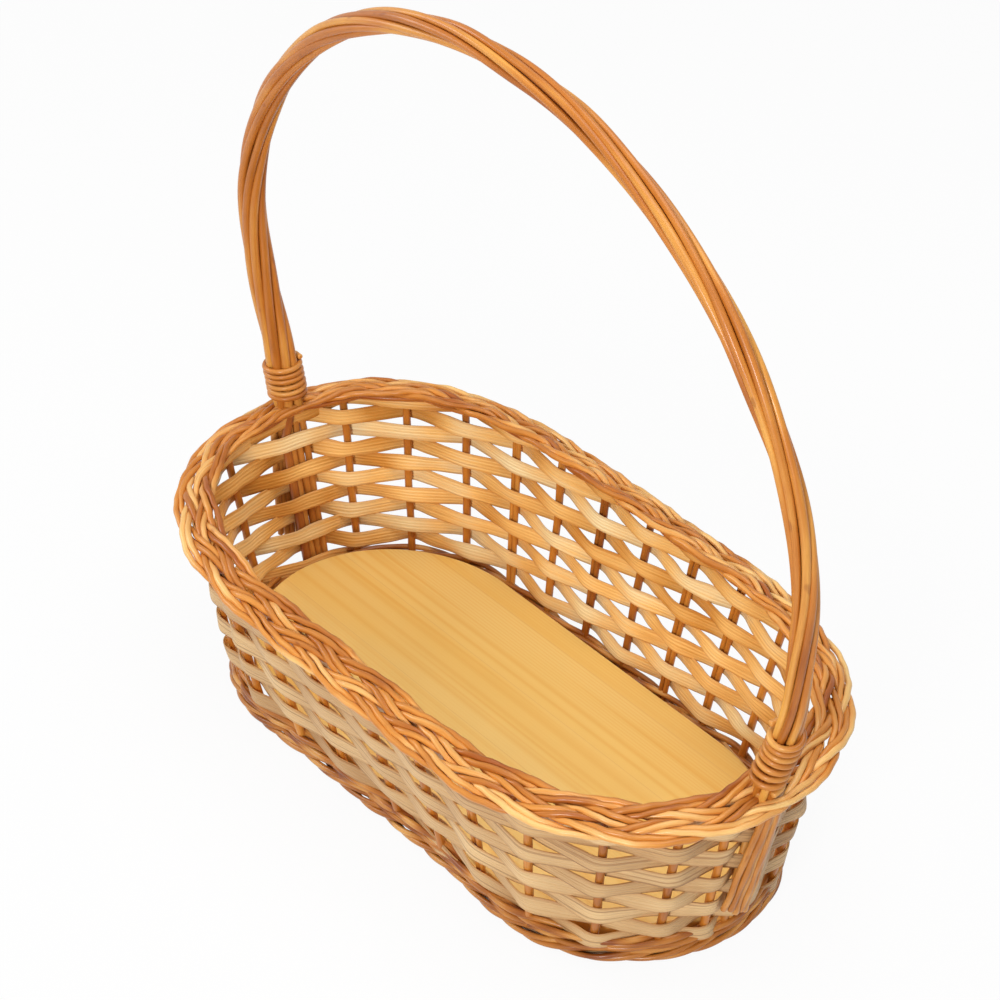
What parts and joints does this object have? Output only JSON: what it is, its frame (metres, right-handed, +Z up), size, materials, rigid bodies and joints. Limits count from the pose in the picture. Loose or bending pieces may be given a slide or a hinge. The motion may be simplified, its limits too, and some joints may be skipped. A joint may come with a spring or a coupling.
{
  "type": "foraging basket",
  "caption": "Oval wicker foraging basket: pine base board, flat splint bands woven on willow stakes, plaited rim, roped foot and a fixed bow handle of twisted rods",
  "frame": {"origin": "middle of the lowest plane, the ground under the foot", "axes": "+X along the basket's length, from one handle leg to the other; +Y across its width; +Z up"},
  "size_m": [0.4804, 0.2526, 0.4722],
  "materials": {
    "pine": "planed, clear coated",
    "splint": "split wood, fine ridges along the band",
    "stake_willow": "boiled willow, satin",
    "peeled_willow": "boiled and peeled willow, satin",
    "brown_willow": "boiled willow, satin"
  },
  "bodies": {
    "root": {"foot_strand_1": "brown_willow", "foot_strand_2": "brown_willow", "foot_strand_3": "brown_willow", "base_board": "pine", "stake_01": "stake_willow", "stake_02": "stake_willow", "stake_03": "stake_willow", "stake_04": "stake_willow", "stake_05": "stake_willow", "stake_06": "stake_willow", "stake_07": "stake_willow", "stake_08": "stake_willow", "stake_09": "stake_willow", "stake_10": "stake_willow", "stake_11": "stake_willow", "stake_12": "stake_willow", "stake_13": "stake_willow", "stake_14": "stake_willow", "stake_15": "stake_willow", "stake_16": "stake_willow", "stake_17": "stake_willow", "stake_18": "stake_willow", "stake_19": "stake_willow", "stake_20": "stake_willow", "stake_21": "stake_willow", "stake_22": "stake_willow", "stake_23": "stake_willow", "stake_24": "stake_willow", "stake_25": "stake_willow", "stake_26": "stake_willow", "band_row_01": "splint", "band_row_02": "splint", "band_row_03": "splint", "band_row_04": "splint", "band_row_05": "splint", "band_row_06": "splint", "band_row_07": "splint", "band_row_08": "splint", "band_row_09": "splint", "band_row_10": "splint", "rim_strand_1": "peeled_willow", "rim_strand_2": "peeled_willow", "rim_strand_3": "peeled_willow", "handle_core": "brown_willow", "handle_rod_1": "peeled_willow", "handle_rod_2": "peeled_willow", "handle_rod_3": "peeled_willow", "handle_rod_4": "peeled_willow", "handle_rod_5": "peeled_willow", "handle_rod_6": "peeled_willow", "handle_rod_7": "peeled_willow", "leg_rod_right_a1": "peeled_willow", "leg_rod_right_b1": "peeled_willow", "leg_rod_left_a1": "peeled_willow", "leg_rod_left_b1": "peeled_willow", "leg_fan_right": "peeled_willow", "leg_fan_left": "peeled_willow", "handle_binding_right": "peeled_willow", "handle_binding_left": "peeled_willow"}
  },
  "joints": []
}
